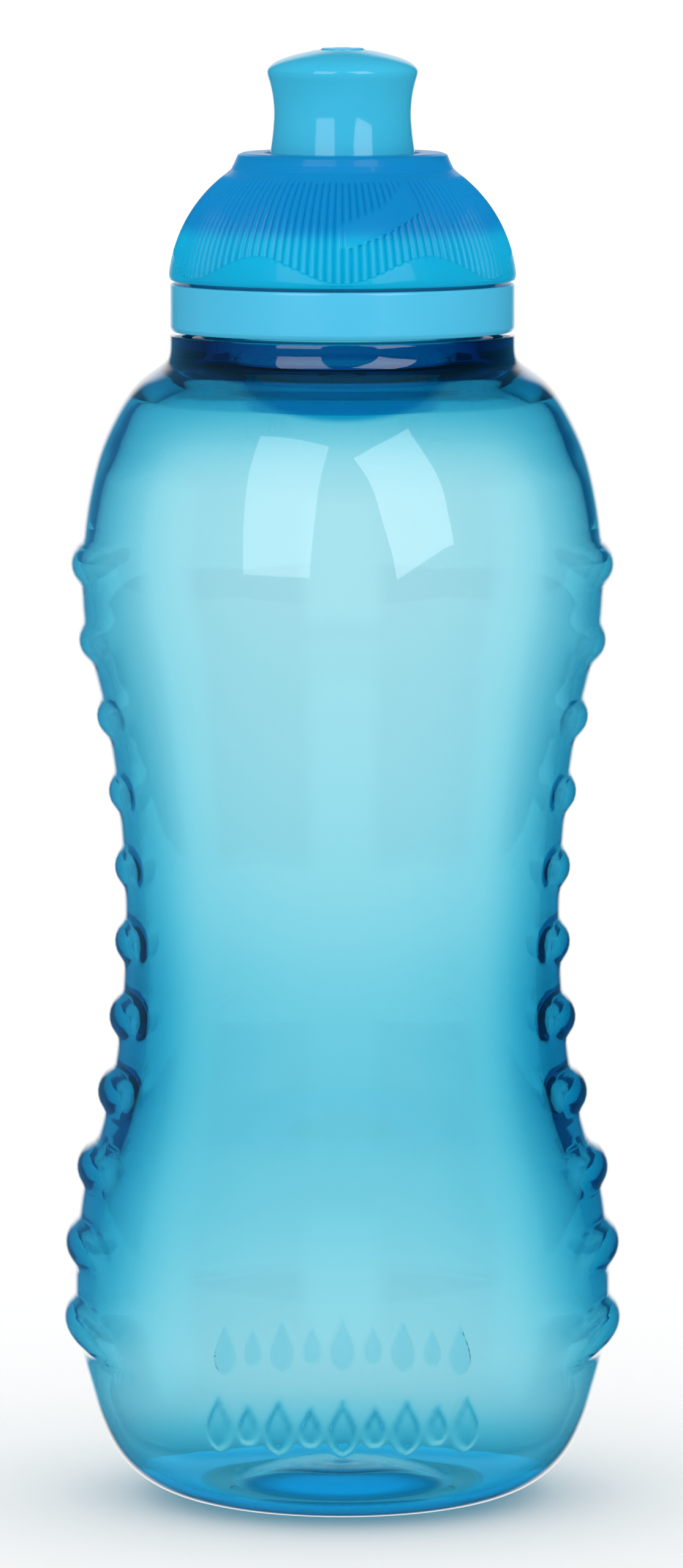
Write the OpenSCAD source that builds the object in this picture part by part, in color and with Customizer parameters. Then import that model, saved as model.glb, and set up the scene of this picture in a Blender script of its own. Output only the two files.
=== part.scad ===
// Sports squeeze bottle with a screw cap, a twisting dome and a lifting spout.
// Millimetres, +Z up, origin at the centre of the foot ring on the table.
// The front of the bottle faces -Y; the grip ribs are on its two sides, +X and -X.

/* [Bottle] */
// Thickness of the squeezable side wall
body_wall = 0.95; // [0.8:0.05:1.2]
// Number of grip ribs up each side
rib_count = 11; // [6:1:11]
// Radius of a grip rib's rounded section
rib_r = 3.2; // [2.8:0.1:3.4]
// Height of the lowest grip rib above the table
rib_z0 = 21.4; // [20.5:0.1:22]
// Height of the highest grip rib above the table
rib_z1 = 111.4; // [110:0.1:112]
// Height of the dimple in the middle of the base
pushup = 2.6; // [1.5:0.1:3.5]

/* [Neck and thread] */
// Radius of the neck at the root of its thread
neck_r = 15.2; // [15:0.05:15.3]
// Radius of the mouth
mouth_r = 13.4; // [13:0.1:13.6]
// Radial height of the thread on the neck
thread_h = 1; // [0.8:0.05:1.05]
// Rise of the thread in one turn
pitch = 4; // [3.8:0.05:4.2]
// Number of turns of the thread on the neck
turns = 1.5; // [1.25:0.25:1.5]

/* [Cap] */
// Outer radius of the collar
collar_r = 20.3; // [20:0.05:20.5]
// Radius of the post that closes the spout
post_r = 2.55; // [2.3:0.01:2.56]
// Outer radius of the tower that the spout slides on
tower_r = 6; // [5.8:0.05:6.05]
// Number of vanes that hold the post
vanes = 3; // [2:1:4]

/* [Spout] */
// How far the spout rises when the dome is twisted
lift = 4; // [3:0.25:4]
// Radius of the drinking hole
hole_r = 2.65; // [2.65:0.05:3.2]
// Radius of the spout's two cam pins
pin_r = 0.8; // [0.6:0.05:0.8]

/* [Dome] */
// Thickness of the dome's wall
dome_wall = 1.2; // [1:0.05:1.3]
// Number of grip flutes round the dome
flutes = 120; // [60:12:120]
// Depth of a flute
flute_d = 0.35; // [0.2:0.05:0.45]
// Angle of twist that opens the spout fully
twist = 90; // [75:5:90]

/* [Hidden] */
$fn = 96;

bottle_colour = [0.30, 0.68, 0.86];
dome_colour = [0.05, 0.50, 0.80];
cap_colour = [0.30, 0.72, 0.87];
seal_colour = [0.90, 0.93, 0.94];

// ---- helpers -------------------------------------------------------------

// One point of a smooth curve through four knots.
function knot_curve(a, b, c, d, t) =
    0.5 * (2*b + (c - a)*t + (2*a - 5*b + 4*c - d)*t*t + (3*b - a - 3*c + d)*t*t*t);

// A smooth curve through a list of knots, with n steps between each two.
function curve(k, n) = concat(
    [for (i = [0:len(k)-2]) for (j = [0:n-1])
        knot_curve(k[max(i-1, 0)], k[i], k[i+1], k[min(i+2, len(k)-1)], j/n)],
    [k[len(k)-1]]);

// The direction of a curve at its point i.
function heading(p, i) =
    let (d = p[min(i+1, len(p)-1)] - p[max(i-1, 0)]) d / norm(d);

// A point moved to the left of the curve's heading, which is into the wall.
function inward(p, i, w) = let (t = heading(p, i)) p[i] + w * [-t[1], t[0]];

function reverse(p) = [for (i = [len(p)-1:-1:0]) p[i]];

// A screw thread of trapezoid section, with ends that run out into the wall.
// foot_r is inside the wall, crest_r is its tip; both are measured from the axis.
module thread(foot_r, foot_h, crest_r, crest_h, a0, a1, z0, steps = 36) {
    n = ceil((a1 - a0) / 360 * steps);
    in_r = min(foot_r, crest_r);
    points = [for (i = [0:n])
        let (a = a0 + (a1 - a0)*i/n,
             f = min(1, min(i, n - i) * (a1 - a0) / n / 30),
             tip = foot_r + (crest_r - foot_r) * (0.12 + 0.88*f),
             z = z0 + pitch*(a - a0)/360,
             s = foot_r < crest_r
                 ? [[foot_r, -foot_h], [tip, -crest_h], [tip, crest_h], [foot_r, foot_h]]
                 : [[tip, -crest_h], [foot_r, -foot_h], [foot_r, foot_h], [tip, crest_h]])
        for (q = s) [q[0]*cos(a), q[0]*sin(a), z + q[1]]];
    faces = concat(
        [[2, 1, 0], [3, 2, 0]],
        [for (i = [0:n-1]) for (j = [0:3])
            let (k = (j + 1) % 4) [4*i+j, 4*i+k, 4*i+4+k]],
        [for (i = [0:n-1]) for (j = [0:3])
            let (k = (j + 1) % 4) [4*i+j, 4*i+4+k, 4*i+4+j]],
        [[4*n, 4*n+1, 4*n+2], [4*n, 4*n+2, 4*n+3]]);
    polyhedron(points = points, faces = faces, convexity = 6);
}

// ---- bottle body ---------------------------------------------------------

// The dimpled base, from its middle out to the foot ring.
base_knots = [[0, pushup], [5.5, pushup*0.94], [9.5, pushup*0.6], [12.0, pushup*0.16], [13.2, 0]];
// The heel, the waisted side and the shoulder, as radius and height.
side_knots = [[16.2, 0], [18.6, 0.35], [21.2, 1.1], [23.7, 2.35], [25.9, 4.2], [27.6, 6.6],
    [29.0, 9.8], [30.1, 13.4], [31.0, 17], [31.8, 22], [31.9, 27], [31.6, 32], [30.9, 37],
    [29.6, 41.5], [28.3, 46], [27.1, 52], [26.3, 59], [25.9, 67], [25.95, 73], [26.3, 79],
    [27.0, 86], [28.1, 93], [29.4, 98.5], [30.5, 103], [30.95, 108], [30.7, 114.5],
    [29.9, 120], [28.5, 125.2], [26.2, 130], [24.1, 132.8], [21.9, 134.5], [20.8, 135.4],
    [20.45, 136.4], [20.4, 137.9]];
// The inside of the neck, from the shoulder up to the mouth.
neck_in = [[20.6, 133.4], [18.5, 134.8], [16.6, 136.0], [14.4, 137.0], [mouth_r, 138.4]];
rim_z = 149.6;
ledge_z = 138.5;

outer_line = concat(curve(base_knots, 2), curve(side_knots, 2));
// Wall thickness by height: thick in the foot, thin up the side, thick at the neck.
function wall_at(z) = lookup(z, [[0, 1.9], [8, 1.6], [16, 1.2], [24, body_wall],
    [124, body_wall], [131, 1.5], [134, 1.8]]);
inner_line = concat([[0, pushup + 1.9]],
    [for (i = [1:len(outer_line)-1]) if (outer_line[i][1] < 132.9)
        inward(outer_line, i, wall_at(outer_line[i][1]))],
    neck_in);

// Ribs: peak radius, reach round the side and tilt of the ring, by height.
function rib_peak(z) = lookup(z, [[21.4, 33.2], [30.4, 33.05], [39.4, 31.7], [48.4, 29.2],
    [57.4, 27.8], [66.4, 27.1], [75.4, 27.1], [84.4, 27.8], [93.4, 29.2], [102.4, 31.3], [111.4, 32.2]]);
// Distance of the ring's centre from the bottle's axis: the larger, the shorter the rib.
function rib_off(z) = lookup(z, [[21.4, 9], [30.4, 11], [39.4, 13], [48.4, 14], [66.4, 14.5],
    [84.4, 14.5], [93.4, 13.5], [102.4, 11.5], [111.4, 9]]);
function rib_tilt(z) = lookup(z, [[21.4, -21], [30.4, -15], [39.4, -11], [48.4, -6], [57.4, -2],
    [66.4, 0], [75.4, 0], [84.4, 3], [93.4, 8], [102.4, 11], [111.4, 13]]);

// One grip rib: a ring that stands out of the side at its widest point.
module grip_rib(z, r) {
    ring = rib_peak(z) - rib_r - rib_off(z);
    translate([rib_off(z) + ring, 0, z]) rotate([0, rib_tilt(z), 0]) translate([-ring, 0, 0])
        rotate_extrude() translate([ring, 0]) circle(r = r, $fn = 32);
}

module grip_ribs(r) {
    for (i = [0:rib_count-1]) {
        z = rib_z0 + (rib_z1 - rib_z0)*i/(rib_count - 1);
        grip_rib(z, r);
        mirror([1, 0, 0]) grip_rib(z, r);
    }
}

// The bottle is one moulding. It is held as two solids that meet face to face
// at split_z: the body under it, and the neck step with the threaded neck over it.
split_z = 134;

module outer_turned() {
    rotate_extrude() polygon(concat(outer_line,
        [[20.1, 138.35], [19.7, ledge_z], [neck_r + 0.4, ledge_z], [neck_r, ledge_z + 0.4],
         [neck_r, rim_z - 0.35], [neck_r - 0.35, rim_z], [0, rim_z]]));
}

module inner_turned() {
    rotate_extrude() polygon(concat(inner_line,
        [[mouth_r, rim_z - 0.35], [mouth_r + 0.4, rim_z + 0.05], [mouth_r + 0.4, rim_z + 1], [0, rim_z + 1]]));
}

module bottle_body() {
    color(bottle_colour) difference() {
        union() {
            outer_turned();
            grip_ribs(rib_r);
        }
        inner_turned();
        grip_ribs(rib_r - body_wall);
        translate([-50, -50, split_z]) cube([100, 100, 30]);
    }
}

module bottle_neck() {
    color(bottle_colour) union() {
        difference() {
            outer_turned();
            inner_turned();
            translate([-50, -50, split_z - 150]) cube([100, 100, 150]);
        }
        thread(neck_r - 0.7, 1.25, neck_r + thread_h, 0.5, 0, 360*turns, 141.5);
    }
}

// ---- neck seal -----------------------------------------------------------

module neck_seal() {
    color(seal_colour) rotate_extrude() polygon([[13.6, rim_z], [16.1, rim_z], [16.3, rim_z + 0.2],
        [16.3, rim_z + 0.8], [16.1, rim_z + 1], [13.6, rim_z + 1], [13.5, rim_z + 0.9], [13.5, rim_z + 0.1]]);
}

// ---- screw cap -----------------------------------------------------------

deck_z = rim_z + 1;      // underside of the deck, on the seal
deck_top = deck_z + 1.3;
tower_top = 167;
drum_r = 16.5;           // inside of the threaded drum
cap_foot = 139.2;
seal_z = 165.5;          // the spout seal's height on the tower

module screw_cap() {
    color(cap_colour) union() {
        // collar, threaded drum, deck and tower
        rotate_extrude() polygon([
            [collar_r - 0.35, cap_foot], [collar_r, cap_foot + 0.4], [collar_r, 144.25],
            [collar_r - 0.25, 144.5], [18.0, 144.5], [17.8, 144.7], [17.8, 146.4],
            [18.4, 146.7], [18.4, 147.0], [17.8, 147.5], [17.8, 149.0], [17.6, 150.4],
            [17.25, 151.3], [16.7, deck_top], [tower_r + 0.3, deck_top], [tower_r, deck_top + 0.3],
            [tower_r, seal_z - 0.65], [5.1, seal_z - 0.65], [5.1, seal_z + 0.65], [tower_r, seal_z + 0.65],
            [tower_r, tower_top - 0.4], [tower_r - 0.4, tower_top], [4.4, tower_top], [4.2, tower_top - 0.2],
            [4.2, deck_z + 0.3], [4.5, deck_z], [drum_r, deck_z],
            [drum_r, cap_foot + 0.6], [drum_r + 0.5, cap_foot], [17.9, cap_foot],
            [17.9, 143.2], [19.0, 143.2], [19.0, cap_foot]]);
        // thread inside the drum, just under the neck's thread
        thread(drum_r + 0.5, 1.05, drum_r - 1.05, 0.4, 90, 450, 141.5 + pitch/4 - 1.45);
        // closing post and the vanes that hold it
        rotate_extrude() polygon([[0, deck_z], [post_r - 0.6, deck_z], [post_r, deck_z + 0.6],
            [post_r, 172.0], [post_r - 0.25, 172.2], [0, 172.2]]);
        for (i = [0:vanes-1]) rotate([0, 0, 90 + i*360/vanes])
            translate([post_r - 0.5, -0.5, deck_z]) cube([4.6 - post_r + 0.5, 1, 7.4]);
        // two splines that keep the spout from turning
        for (s = [90, 270]) rotate([0, 0, s])
            translate([tower_r - 0.5, -0.8, deck_top - 0.2]) cube([1.05, 1.6, 7.8]);
    }
}

// ---- spout seal ----------------------------------------------------------

module spout_seal() {
    color(seal_colour) rotate_extrude() translate([5.64, seal_z]) circle(r = 0.52, $fn = 32);
}

// ---- spout ---------------------------------------------------------------

spout_foot = 152.8;
bore_r = tower_r + 0.2;
pin_z = 153.7;
// The outside of the mouthpiece, from the dome up over its lip to the hole.
lip_knots = [[8.6, 159.4], [8.45, 160.5], [8.22, 162.3], [8.08, 164.4], [8.22, 166.4], [8.52, 167.9],
    [8.9, 169.3], [8.6, 170.15], [7.6, 170.75], [5.6, 171.35], [hole_r + 0.9, 171.9]];

module spout() {
    color(dome_colour) union() {
        difference() {
            rotate_extrude() polygon(concat(
                [[bore_r + 0.3, spout_foot], [8.3, spout_foot], [8.6, spout_foot + 0.3]],
                curve(lip_knots, 3),
                [[hole_r + 0.2, 172.0], [hole_r, 171.8], [hole_r, 170.1], [hole_r + 0.9, 169.3],
                 [5.2, 168.9], [bore_r, 168.1], [bore_r, spout_foot + 0.3]]));
            // keyways for the tower's splines
            for (s = [90, 270]) rotate([0, 0, s])
                translate([bore_r - 1, -1, spout_foot - 1]) cube([1.7, 2, 8.4]);
        }
        // cam pins
        for (s = [0, 180]) rotate([0, 0, s]) translate([8.2, 0, pin_z]) rotate([0, 90, 0])
            cylinder(r = pin_r, h = 2.0, $fn = 32);
    }
}

// ---- twist dome ----------------------------------------------------------

dome_foot = 144.9;
dome_cr = 3.56;      // the dome's section is an arc about this point
dome_cz = 143.8;
dome_R = 17;
sleeve_r = 8.9;
sleeve_foot = 152.3;
function dome_r(z, d) = dome_cr + sqrt(pow(dome_R - d, 2) - pow(z - dome_cz, 2));
function arc_line(z0, z1, n, d) = [for (i = [0:n]) let (z = z0 + (z1 - z0)*sin(90*i/n)) [dome_r(z, d), z]];

// A flute's cutter: a thin wedge outside an arc just under the dome's surface.
module flute(a) {
    low = 147.3 - 1.45*cos(6*(a + 90));
    line = arc_line(low, 157.2, 3, flute_d);
    rotate([0, 0, a]) rotate_extrude(angle = 0.45*360/flutes)
        polygon(concat(line, [[line[3][0] + 3, 157.2], [24, 154], [24, low]]));
}

// A slanted slot that lifts a pin as the dome turns.
module cam_slot(a) {
    n = 13;
    a0 = a - twist - 7;
    a1 = a + 7;
    points = [for (i = [0:n]) let (b = a0 + (a1 - a0)*i/n, z = pin_z + lift*(a - b)/twist)
        for (q = [[sleeve_r - 1, -pin_r - 0.25], [sleeve_r + 2.2, -pin_r - 0.25],
                  [sleeve_r + 2.2, pin_r + 0.25], [sleeve_r - 1, pin_r + 0.25]])
        [q[0]*cos(b), q[0]*sin(b), z + q[1]]];
    faces = concat(
        [[2, 1, 0], [3, 2, 0]],
        [for (i = [0:n-1]) for (j = [0:3]) let (k = (j + 1) % 4) [4*i+j, 4*i+k, 4*i+4+k]],
        [for (i = [0:n-1]) for (j = [0:3]) let (k = (j + 1) % 4) [4*i+j, 4*i+4+k, 4*i+4+j]],
        [[4*n, 4*n+1, 4*n+2], [4*n, 4*n+2, 4*n+3]]);
    polyhedron(points = points, faces = faces, convexity = 4);
    // the notch at the slot's lower end, where the pin goes in
    rotate([0, 0, a + 1]) translate([sleeve_r - 1, -1.1, sleeve_foot - 1]) cube([3.2, 2.2, pin_z - sleeve_foot + 1]);
}

module twist_dome() {
    color(dome_colour) difference() {
        // lower edge, arc, top ledge, inner sleeve, inside of the arc and snap bead
        rotate_extrude() polygon(concat(
            [[20.15, dome_foot], [20.4, dome_foot + 0.3]],
            arc_line(145.8, 157.1, 7, 0),
            [[13.2, 157.9], [12.6, 158.9], [12.3, 159.6], [11.9, 159.9],
             [sleeve_r + 0.2, 159.9], [sleeve_r, 159.7], [sleeve_r, sleeve_foot],
             [sleeve_r + 1.5, sleeve_foot], [sleeve_r + 1.5, 158.8], [11.2, 158.8], [11.6, 157.6]],
            reverse(arc_line(146.5, 156.6, 7, dome_wall)),
            [[18.1, 146.0], [18.1, 145.4], [18.5, dome_foot]]));
        for (i = [0:flutes-1]) flute(i*360/flutes);
        for (s = [0, 180]) cam_slot(s);
    }
}

bottle_body();
bottle_neck();
neck_seal();
screw_cap();
spout_seal();
spout();
twist_dome();
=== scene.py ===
"""Looks for the sports squeeze bottle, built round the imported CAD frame. Metres, +Z up, front -Y."""
import math

import bpy
import numpy as np
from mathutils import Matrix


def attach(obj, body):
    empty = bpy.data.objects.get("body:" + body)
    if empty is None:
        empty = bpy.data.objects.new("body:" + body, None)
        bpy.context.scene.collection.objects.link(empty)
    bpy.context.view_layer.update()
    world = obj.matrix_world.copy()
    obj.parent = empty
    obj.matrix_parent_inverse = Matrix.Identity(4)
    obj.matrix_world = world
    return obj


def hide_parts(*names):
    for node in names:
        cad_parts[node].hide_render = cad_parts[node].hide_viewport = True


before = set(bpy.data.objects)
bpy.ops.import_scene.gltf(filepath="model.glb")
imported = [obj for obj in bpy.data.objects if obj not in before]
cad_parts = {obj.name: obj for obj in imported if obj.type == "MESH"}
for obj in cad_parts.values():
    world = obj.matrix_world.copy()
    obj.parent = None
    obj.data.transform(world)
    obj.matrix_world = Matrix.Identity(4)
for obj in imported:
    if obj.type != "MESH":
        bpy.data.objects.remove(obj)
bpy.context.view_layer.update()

MM = 0.001
scene = bpy.context.scene

# --------------------------------------------------------------------------
# Small maths
# --------------------------------------------------------------------------


def curve(knots, n):
    """A smooth curve through knots, with n steps between each two."""
    k = np.array(knots, float)
    out = []
    for i in range(len(k) - 1):
        a, b, c, d = k[max(i - 1, 0)], k[i], k[i + 1], k[min(i + 2, len(k) - 1)]
        for j in range(n):
            t = j / n
            out.append(
                0.5
                * (
                    2 * b
                    + (c - a) * t
                    + (2 * a - 5 * b + 4 * c - d) * t * t
                    + (3 * b - a - 3 * c + d) * t**3
                )
            )
    out.append(k[-1])
    return np.array(out)


def respace(line, step):
    """The same line with points about step apart."""
    line = np.array(line, float)
    run = np.r_[0, np.cumsum(np.hypot(*np.diff(line, axis=0).T))]
    n = max(1, int(round(run[-1] / step)))
    s = np.linspace(0, run[-1], n + 1)
    return np.c_[np.interp(s, run, line[:, 0]), np.interp(s, run, line[:, 1])]


def inward(line, wall):
    """line moved to the left of its heading by wall, a number or an array."""
    d = np.gradient(line, axis=0)
    d /= np.hypot(d[:, 0], d[:, 1])[:, None]
    return line + np.c_[-d[:, 1], d[:, 0]] * np.asarray(wall, float).reshape(-1, 1)


def soft_max(a, b, k):
    h = np.clip(0.5 + 0.5 * (a - b) / k, 0, 1)
    return b * (1 - h) + a * h + k * h * (1 - h)


def smooth(x, lo, hi):
    t = np.clip((x - lo) / (hi - lo), 0, 1)
    return t * t * (3 - 2 * t)


def rounded(points, r, n=4):
    """A polyline whose corners are rounded. points are (x, y) or (x, y, own radius)."""
    pts = [np.array(p[:2], float) for p in points]
    rad = [p[2] if len(p) > 2 else r for p in points]
    out = [pts[0]]
    for i in range(1, len(pts) - 1):
        a, b, c = pts[i - 1], pts[i], pts[i + 1]
        u, v = a - b, c - b
        lu, lv = np.linalg.norm(u), np.linalg.norm(v)
        u, v = u / lu, v / lv
        turn = math.acos(max(-1, min(1, float(u @ v))))
        if rad[i] <= 0 or turn > math.pi - 0.02:
            out.append(b)
            continue
        d = min(rad[i] / math.tan(turn / 2), 0.45 * lu, 0.45 * lv)
        for j in range(n + 1):
            t = j / n
            out.append(
                (1 - t) ** 2 * (b + u * d) + 2 * t * (1 - t) * b + t * t * (b + v * d)
            )
    out.append(pts[-1])
    return np.array(out)


# --------------------------------------------------------------------------
# Mesh helpers
# --------------------------------------------------------------------------


def make(name, verts, faces, shade=True, sharp=None):
    me = bpy.data.meshes.new(name)
    me.from_pydata([tuple(v) for v in (np.asarray(verts, float) * MM)], [], faces)
    me.validate()
    me.update()
    ob = bpy.data.objects.new(name, me)
    scene.collection.objects.link(ob)
    if shade:
        me.shade_smooth()
    if sharp is not None:
        import bmesh

        bm = bmesh.new()
        bm.from_mesh(me)
        for e in bm.edges:
            if len(e.link_faces) == 2 and e.calc_face_angle(0) > sharp:
                e.smooth = False
        bm.to_mesh(me)
        bm.free()
    return ob


def ring_mesh(name, rows, closed_loop=False, **kw):
    """A surface of revolution whose rows may bulge and may hold different counts of points.

    rows: list of (angles, r, z) arrays, in order along the section, or (None, 0, z) for a pole.
    Each two neighbours hold the same angles, or one holds all of the other's and more."""
    verts, start = [], []
    for ang, r, z in rows:
        start.append(len(verts))
        if ang is None:
            verts.append((0.0, 0.0, float(z)))
        else:
            for a, rr, zz in zip(ang, r, z):
                verts.append((rr * math.cos(a), rr * math.sin(a), zz))
    faces = []
    pairs = list(zip(range(len(rows) - 1), range(1, len(rows))))
    if closed_loop:
        pairs.append((len(rows) - 1, 0))
    for i, j in pairs:
        A, B = rows[i][0], rows[j][0]
        a0, b0 = start[i], start[j]
        if A is None and B is None:
            continue
        if A is None:
            n = len(B)
            faces += [(a0, b0 + (k + 1) % n, b0 + k) for k in range(n)]
        elif B is None:
            n = len(A)
            faces += [(a0 + k, a0 + (k + 1) % n, b0) for k in range(n)]
        elif len(A) == len(B):
            n = len(A)
            faces += [
                (a0 + k, a0 + (k + 1) % n, b0 + (k + 1) % n, b0 + k) for k in range(n)
            ]
        else:
            few, many = (A, B) if len(A) < len(B) else (B, A)
            f0, m0 = (a0, b0) if len(A) < len(B) else (b0, a0)
            at = {round(float(v), 6): k for k, v in enumerate(many)}
            idx = [at[round(float(v), 6)] for v in few]
            nf, nm = len(few), len(many)
            for k in range(nf):
                m1 = idx[k]
                m2 = idx[(k + 1) % nf]
                run = []
                q = m1
                while True:
                    run.append(m0 + q)
                    if q == m2:
                        break
                    q = (q + 1) % nm
                p, p2 = f0 + k, f0 + (k + 1) % nf
                if len(A) < len(B):
                    faces.append(tuple([p, p2] + run[::-1]))
                else:
                    faces.append(tuple(run + [p2, p]))
    return make(name, verts, faces, **kw)


def turned(name, line, n=192, closed=True, **kw):
    """A plain turned solid from a section line of (r, z) points."""
    ang = np.linspace(0, 2 * np.pi, n, endpoint=False)
    rows = []
    for r, z in line:
        if abs(r) < 1e-6:
            rows.append((None, 0, z))
        else:
            rows.append((ang, np.full(n, r), np.full(n, z)))
    return ring_mesh(name, rows, closed_loop=closed, **kw)


# --------------------------------------------------------------------------
# Camera, world, floor, lights
# --------------------------------------------------------------------------

cam_data = bpy.data.cameras.new("camera")
cam_data.lens = 220.0
cam_data.sensor_width = 36.0
cam_data.clip_start = 0.01
cam_data.clip_end = 100.0
camera = bpy.data.objects.new("camera", cam_data)
scene.collection.objects.link(camera)
camera.location = (-0.00012, -1.130, 0.207)
camera.rotation_euler = (math.radians(90 - 6.158), math.radians(0.0), 0.0)
scene.camera = camera

# How far round the backdrop reaches, and the tint of the studio on either hand.
BACK_LO, BACK_HI = 0.925, 0.982
STUDIO_LEFT = (0.05, 0.21, 0.38, 1.0)
STUDIO_RIGHT = (0.01, 0.11, 0.23, 1.0)

world = bpy.data.worlds.new("studio")
scene.world = world
world.use_nodes = True
wt = world.node_tree
wn = wt.nodes


def wmath(op, a, b=None, clamp=False):
    n = wn.new("ShaderNodeMath")
    n.operation = op
    n.use_clamp = clamp
    for i, v in enumerate((a, b)):
        if v is None:
            continue
        if isinstance(v, (int, float)):
            n.inputs[i].default_value = v
        else:
            wt.links.new(v, n.inputs[i])
    return n.outputs[0]


def wstep(v, lo, hi):
    n = wn.new("ShaderNodeMapRange")
    n.interpolation_type = "SMOOTHSTEP"
    wt.links.new(v, n.inputs["Value"])
    n.inputs["From Min"].default_value = lo
    n.inputs["From Max"].default_value = hi
    return n.outputs[0]


# A white backdrop behind the bottle, and a dim cool studio round the rest of it.
white = wn["Background"]
white.inputs["Color"].default_value = (1.0, 1.0, 1.0, 1.0)
white.inputs["Strength"].default_value = 1.0
way = wn.new("ShaderNodeTexCoord")
sep = wn.new("ShaderNodeSeparateXYZ")
wt.links.new(way.outputs["Generated"], sep.inputs[0])
dx, dy, dz = sep.outputs
flat = wmath("SQRT", wmath("ADD", wmath("MULTIPLY", dx, dx), wmath("ADD", wmath("MULTIPLY", dy, dy), 1e-6)))
ahead = wstep(wmath("DIVIDE", dy, flat), BACK_LO, BACK_HI)
level = wmath("SUBTRACT", 1.0, wstep(wmath("ABSOLUTE", dz), 0.30, 0.50))
panel = wmath("MULTIPLY", ahead, level)
lp = wn.new("ShaderNodeLightPath")
soft = wmath("GREATER_THAN", lp.outputs["Diffuse Depth"], 0.5)
# what is looked at through the plastic has a white board behind it from every side
square = wmath("MAXIMUM", wmath("ABSOLUTE", dx), wmath("ABSOLUTE", dy))
boards = wmath("MULTIPLY", wmath("MULTIPLY", wstep(wmath("DIVIDE", square, flat), BACK_LO, BACK_HI), level),
               lp.outputs["Is Transmission Ray"])
lit = wmath("MAXIMUM", wmath("MAXIMUM", lp.outputs["Is Camera Ray"], soft), wmath("MAXIMUM", panel, boards))
tone = wn.new("ShaderNodeMix")
tone.data_type = "RGBA"
wt.links.new(wstep(dx, -0.8, 0.8), tone.inputs["Factor"])
tone.inputs[6].default_value = STUDIO_LEFT
tone.inputs[7].default_value = STUDIO_RIGHT
dim = wn.new("ShaderNodeBackground")
wt.links.new(tone.outputs[2], dim.inputs["Color"])
wmix = wn.new("ShaderNodeMixShader")
wt.links.new(lit, wmix.inputs[0])
wt.links.new(dim.outputs[0], wmix.inputs[1])
wt.links.new(white.outputs[0], wmix.inputs[2])
wt.links.new(wmix.outputs[0], wn["World Output"].inputs["Surface"])
world.cycles.sampling_method = "NONE"
scene.cycles.max_bounces = 24
scene.cycles.transmission_bounces = 20
scene.cycles.glossy_bounces = 12
scene.cycles.volume_bounces = 0

scene.view_settings.view_transform = "Standard"
scene.view_settings.look = "None"
scene.view_settings.exposure = 0.0
scene.view_settings.gamma = 1.0

floor_me = bpy.data.meshes.new("floor")
floor_me.from_pydata([(-1.3, -1.3, 0), (1.3, -1.3, 0), (1.3, 10, 0), (-1.3, 10, 0)], [], [(0, 1, 2, 3)])
floor = bpy.data.objects.new("floor", floor_me)
scene.collection.objects.link(floor)
mat = bpy.data.materials.new("floor")
mat.use_nodes = True
p = mat.node_tree.nodes["Principled BSDF"]
p.inputs["Base Color"].default_value = (0.985, 0.985, 0.985, 1)
p.inputs["Roughness"].default_value = 0.9
p.inputs["Specular IOR Level"].default_value = 0.0
p.inputs["Emission Color"].default_value = (1, 1, 1, 1)
p.inputs["Emission Strength"].default_value = 0.04
floor_me.materials.append(mat)
floor.visible_glossy = False

# a small glowing pad under the base's hollow, as on a light table, seen only through the plastic
turn = [2 * math.pi * k / 64 for k in range(64)]
pad_me = bpy.data.meshes.new("pad")
pad_me.from_pydata([(0.0115 * math.cos(a), 0.0115 * math.sin(a), 0.00015) for a in turn], [], [tuple(range(64))])
pad = bpy.data.objects.new("pad", pad_me)
scene.collection.objects.link(pad)
pad_mat = bpy.data.materials.new("pad")
pad_mat.use_nodes = True
pp = pad_mat.node_tree.nodes["Principled BSDF"]
pp.inputs["Base Color"].default_value = (1, 1, 1, 1)
pp.inputs["Emission Color"].default_value = (0.02, 0.6, 1, 1)
# brightest in the middle, fading out at its edge
pc = pad_mat.node_tree.nodes.new("ShaderNodeTexCoord")
pl = pad_mat.node_tree.nodes.new("ShaderNodeVectorMath")
pl.operation = "LENGTH"
pad_mat.node_tree.links.new(pc.outputs["Object"], pl.inputs[0])
pr = pad_mat.node_tree.nodes.new("ShaderNodeMapRange")
pr.inputs["From Min"].default_value = 0.0113
pr.inputs["From Max"].default_value = 0.0070
pr.inputs["To Min"].default_value = 0.12
pr.inputs["To Max"].default_value = 0.62
pad_mat.node_tree.links.new(pl.outputs["Value"], pr.inputs["Value"])
pad_mat.node_tree.links.new(pr.outputs[0], pp.inputs["Emission Strength"])
pad_me.materials.append(pad_mat)
pad.visible_camera = False
pad.visible_glossy = False

# and a dimmer ring under the heel, seen only through the plastic too
ring_me = bpy.data.meshes.new("pad_ring")
ring_me.from_pydata(
    [(r * math.cos(a), r * math.sin(a), 0.0001) for r in (0.0172, 0.0262) for a in turn], [],
    [(k, (k + 1) % 64, 64 + (k + 1) % 64, 64 + k) for k in range(64)])
ring = bpy.data.objects.new("pad_ring", ring_me)
scene.collection.objects.link(ring)
ring_mat = bpy.data.materials.new("pad_ring")
ring_mat.use_nodes = True
rp = ring_mat.node_tree.nodes["Principled BSDF"]
rp.inputs["Base Color"].default_value = (1, 1, 1, 1)
rp.inputs["Emission Color"].default_value = (0.05, 0.7, 1, 1)
rp.inputs["Emission Strength"].default_value = 0.6
ring_me.materials.append(ring_mat)
ring.visible_camera = False
ring.visible_glossy = False
ring.visible_diffuse = False
ring.visible_shadow = False


# The two window lights fall on the bottle and its parts, and not on the floor.
lit_pieces = bpy.data.collections.new("lit_pieces")


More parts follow.
